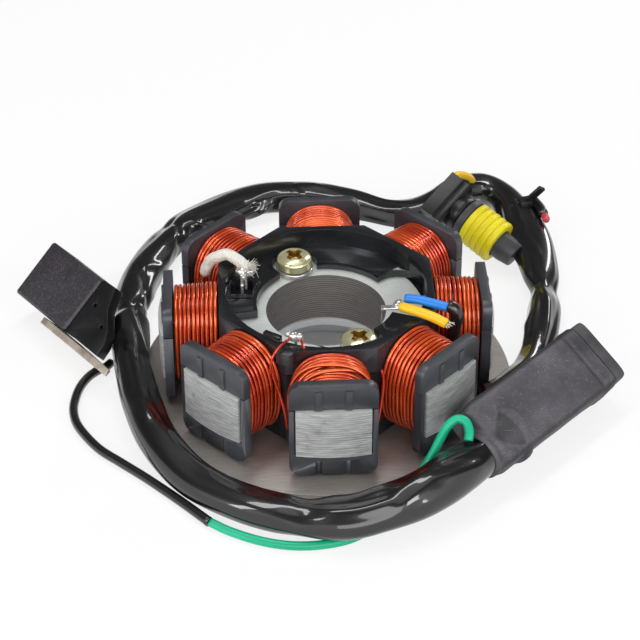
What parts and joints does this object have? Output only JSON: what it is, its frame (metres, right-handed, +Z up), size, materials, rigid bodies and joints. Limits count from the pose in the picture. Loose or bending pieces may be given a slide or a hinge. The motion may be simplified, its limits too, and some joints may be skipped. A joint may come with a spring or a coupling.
{
  "type": "wound stator",
  "caption": "Wound stator: enamelled copper coils on a laminated core in a charcoal frame, screwed to a steel plate, with a harness sleeve, trigger pickup, sealed plug and rubber hood.",
  "frame": {"origin": "on the bore axis, at the underside of the base plate", "axes": "+Z up along the bore axis; -Y towards the front pole, the side that the picture shows; +X to the right in the picture"},
  "size_m": [0.1616, 0.1584, 0.0354],
  "materials": {
    "plate_steel": "pressed, lightly brushed, dull",
    "lamination_steel": "stacked laminations, bare edges",
    "charcoal_moulding": "satin glass-filled moulding",
    "enamelled_copper": null,
    "yellow_zinc_screw": "yellow zinc plate",
    "bright_steel": "plain bright steel",
    "solder": "tinned and soldered",
    "white_insulation": "white wire insulation",
    "blue_insulation": "blue wire insulation",
    "yellow_insulation": "yellow wire insulation",
    "green_insulation": "green wire insulation",
    "red_insulation": "red wire insulation",
    "black_sleeving": "glossy soft black sleeving",
    "dusty_rubber": "black rubber with grey dust",
    "black_plastic": "black moulded plastic",
    "dusty_cap": "black plastic with grey dust",
    "dark_grey_plastic": "dark grey moulded plastic",
    "yellow_seal": "yellow ribbed rubber seal"
  },
  "bodies": {
    "root": {"base_plate": "plate_steel", "blue_lead": "blue_insulation", "coil_1": "enamelled_copper", "coil_2": "enamelled_copper", "coil_3": "enamelled_copper", "coil_4": "enamelled_copper", "coil_5": "enamelled_copper", "coil_6": "enamelled_copper", "coil_7": "enamelled_copper", "coil_8": "enamelled_copper", "coil_tail_1": "enamelled_copper", "coil_tail_2": "enamelled_copper", "front_terminal": "solder", "green_wire": "green_insulation", "harness_sleeve": "black_sleeving", "laminated_core": "lamination_steel", "left_terminal": "solder", "lower_frame": "charcoal_moulding", "outgoing_lead": "black_sleeving", "pickup_body": "black_plastic", "pickup_cover": "dusty_cap", "pickup_foot": "bright_steel", "pickup_sleeve": "black_sleeving", "plug_body": "black_plastic", "plug_collar": "dark_grey_plastic", "plug_latch_box": "black_plastic", "plug_lead": "yellow_insulation", "plug_seal": "yellow_seal", "right_terminal": "solder", "rubber_hood": "dusty_rubber", "screw_1": "yellow_zinc_screw", "screw_2": "yellow_zinc_screw", "sleeve_tie": "black_plastic", "spare_lead": "black_sleeving", "spare_lead_end": "red_insulation", "upper_frame": "charcoal_moulding", "washer_1": "bright_steel", "washer_2": "bright_steel", "white_lead": "white_insulation", "yellow_lead": "yellow_insulation"}
  },
  "joints": []
}
